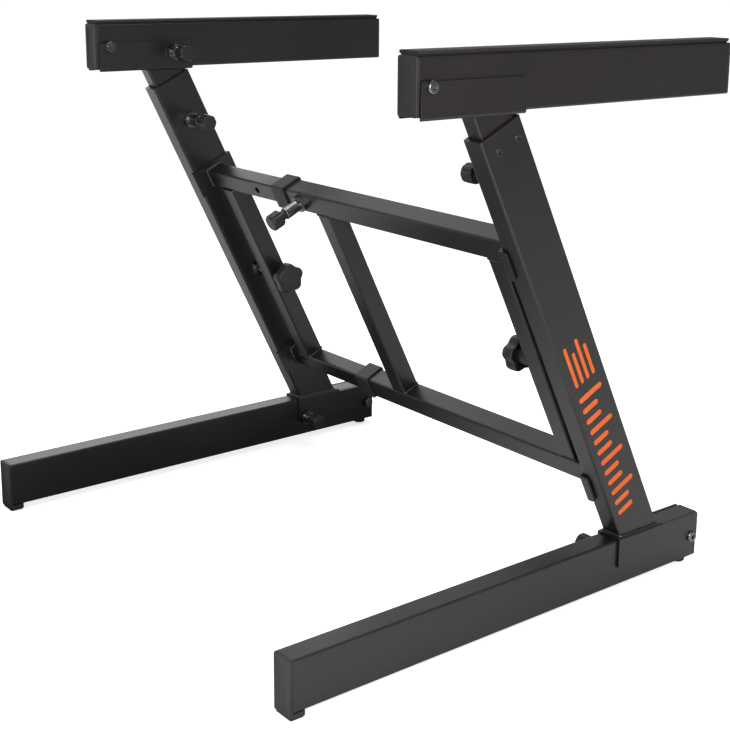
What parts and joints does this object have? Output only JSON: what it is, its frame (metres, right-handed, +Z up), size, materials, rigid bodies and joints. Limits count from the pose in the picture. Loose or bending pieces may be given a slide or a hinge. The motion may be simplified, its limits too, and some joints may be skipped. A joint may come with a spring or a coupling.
{
  "type": "keyboard stand",
  "caption": "Folding Z-style keyboard stand in black steel tube, with telescoping legs and crossbars, hinged feet and arms, index plungers and star knobs.",
  "frame": {"origin": "on the floor in the middle of the whole stand's plan", "axes": "+Z up, +X towards the near side frame, -Y towards the toes of the feet"},
  "size_m": [0.6712, 0.589, 0.6148],
  "materials": {
    "powder_coat": "black fine-texture powder coat on steel tube",
    "cap_plastic": "moulded black polypropylene",
    "cap_rubber": "moulded black thermoplastic rubber",
    "guide_plastic": "black acetal",
    "knob_plastic": "glass-filled nylon, fine grain",
    "rubber": "matt rubber",
    "black_zinc": "black zinc-plated steel",
    "spring_steel": "spring wire"
  },
  "bodies": {
    "near_frame": {"near_leg_tube": "powder_coat", "near_leg_guide_bush": "guide_plastic", "near_foot_bracket": "powder_coat", "near_frame_fasteners": "black_zinc", "near_saddles": "powder_coat", "near_upright": "powder_coat", "near_frame_plunger_housings": "black_zinc", "near_frame_plunger_springs": "spring_steel", "upper_outer_crossbar": "powder_coat", "lower_outer_crossbar": "powder_coat", "brace": "powder_coat", "crossbar_sleeves": "cap_plastic"},
    "near_mast": {"near_mast_tube": "powder_coat", "near_mast_slider": "guide_plastic", "near_arm_bracket": "powder_coat", "near_arm_bolt": "black_zinc", "near_arm_plunger_housing": "black_zinc", "near_arm_plunger_spring": "spring_steel"},
    "near_arm": {"near_arm_tube": "powder_coat", "near_arm_front_cap": "cap_plastic", "near_arm_rear_cap": "cap_plastic", "near_arm_strip": "rubber"},
    "near_foot": {"near_foot_tube": "powder_coat", "near_foot_toe_cap": "cap_rubber", "near_foot_heel_cap": "cap_plastic", "near_foot_pads": "rubber"},
    "near_star_knob": {"near_star_knob": "knob_plastic"},
    "near_leg_plunger": {"near_leg_plunger": "knob_plastic"},
    "near_foot_plunger": {"near_foot_plunger": "knob_plastic"},
    "near_arm_plunger": {"near_arm_plunger": "knob_plastic"},
    "far_frame": {"far_leg_tube": "powder_coat", "far_leg_guide_bush": "guide_plastic", "far_foot_bracket": "powder_coat", "far_frame_fasteners": "black_zinc", "far_saddles": "powder_coat", "far_upright": "powder_coat", "far_frame_plunger_housings": "black_zinc", "far_frame_plunger_springs": "spring_steel", "upper_inner_crossbar": "powder_coat", "lower_inner_crossbar": "powder_coat"},
    "far_mast": {"far_mast_tube": "powder_coat", "far_mast_slider": "guide_plastic", "far_arm_bracket": "powder_coat", "far_arm_bolt": "black_zinc", "far_arm_plunger_housing": "black_zinc", "far_arm_plunger_spring": "spring_steel"},
    "far_arm": {"far_arm_tube": "powder_coat", "far_arm_front_cap": "cap_plastic", "far_arm_rear_cap": "cap_plastic", "far_arm_strip": "rubber"},
    "far_foot": {"far_foot_tube": "powder_coat", "far_foot_toe_cap": "cap_rubber", "far_foot_heel_cap": "cap_plastic", "far_foot_pads": "rubber"},
    "far_star_knob": {"far_star_knob": "knob_plastic"},
    "far_leg_plunger": {"far_leg_plunger": "knob_plastic"},
    "far_foot_plunger": {"far_foot_plunger": "knob_plastic"},
    "far_arm_plunger": {"far_arm_plunger": "knob_plastic"},
    "width_plunger": {"width_plunger": "knob_plastic"}
  },
  "joints": [
    {"name": "width_slide", "type": "slide", "parent": "near_frame", "child": "far_frame", "axis": [-1, 0, 0], "range_m": [-0.102, 0.204]},
    {"name": "near_height_slide", "type": "slide", "parent": "near_frame", "child": "near_mast", "axis": [0, -0.4384, 0.8988], "range_m": [0, 0.35]},
    {"name": "near_arm_fold", "type": "hinge", "parent": "near_mast", "child": "near_arm", "pos_m": [0.3153, -0.136, 0.582], "axis": [1, 0, 0], "range_deg": [0, 294]},
    {"name": "near_foot_fold", "type": "hinge", "parent": "near_frame", "child": "near_foot", "pos_m": [0.3153, 0.2725, 0.0345], "axis": [1, 0, 0], "range_deg": [0, 263]},
    {"name": "near_star_knob_turn", "type": "hinge", "parent": "near_frame", "child": "near_star_knob", "pos_m": [0.3153, 0.08422, 0.26883], "axis": [-1, 0, 0], "range_deg": [0, 1080]},
    {"name": "near_leg_plunger_pull", "type": "slide", "parent": "near_frame", "child": "near_leg_plunger", "axis": [-1, 0, 0], "range_m": [0, 0.008], "stiffness_N_per_m": 1500, "springref_m": -0.004},
    {"name": "near_foot_plunger_pull", "type": "slide", "parent": "near_frame", "child": "near_foot_plunger", "axis": [-1, 0, 0], "range_m": [0, 0.005], "stiffness_N_per_m": 1500, "springref_m": -0.004},
    {"name": "near_arm_plunger_pull", "type": "slide", "parent": "near_mast", "child": "near_arm_plunger", "axis": [-1, 0, 0], "range_m": [0, 0.005], "stiffness_N_per_m": 1500, "springref_m": -0.004},
    {"name": "far_height_slide", "type": "slide", "parent": "far_frame", "child": "far_mast", "axis": [0, -0.4384, 0.8988], "range_m": [0, 0.35]},
    {"name": "far_arm_fold", "type": "hinge", "parent": "far_mast", "child": "far_arm", "pos_m": [-0.3153, -0.136, 0.582], "axis": [1, 0, 0], "range_deg": [0, 294]},
    {"name": "far_foot_fold", "type": "hinge", "parent": "far_frame", "child": "far_foot", "pos_m": [-0.3153, 0.2725, 0.0345], "axis": [1, 0, 0], "range_deg": [0, 263]},
    {"name": "far_star_knob_turn", "type": "hinge", "parent": "far_frame", "child": "far_star_knob", "pos_m": [-0.3153, 0.08422, 0.26883], "axis": [1, 0, 0], "range_deg": [0, 1080]},
    {"name": "far_leg_plunger_pull", "type": "slide", "parent": "far_frame", "child": "far_leg_plunger", "axis": [1, 0, 0], "range_m": [0, 0.008], "stiffness_N_per_m": 1500, "springref_m": -0.004},
    {"name": "far_foot_plunger_pull", "type": "slide", "parent": "far_frame", "child": "far_foot_plunger", "axis": [1, 0, 0], "range_m": [0, 0.005], "stiffness_N_per_m": 1500, "springref_m": -0.004},
    {"name": "far_arm_plunger_pull", "type": "slide", "parent": "far_mast", "child": "far_arm_plunger", "axis": [1, 0, 0], "range_m": [0, 0.005], "stiffness_N_per_m": 1500, "springref_m": -0.004},
    {"name": "width_plunger_pull", "type": "slide", "parent": "near_frame", "child": "width_plunger", "axis": [0, -0.8988, -0.4384], "range_m": [0, 0.008], "stiffness_N_per_m": 1500, "springref_m": -0.004}
  ]
}
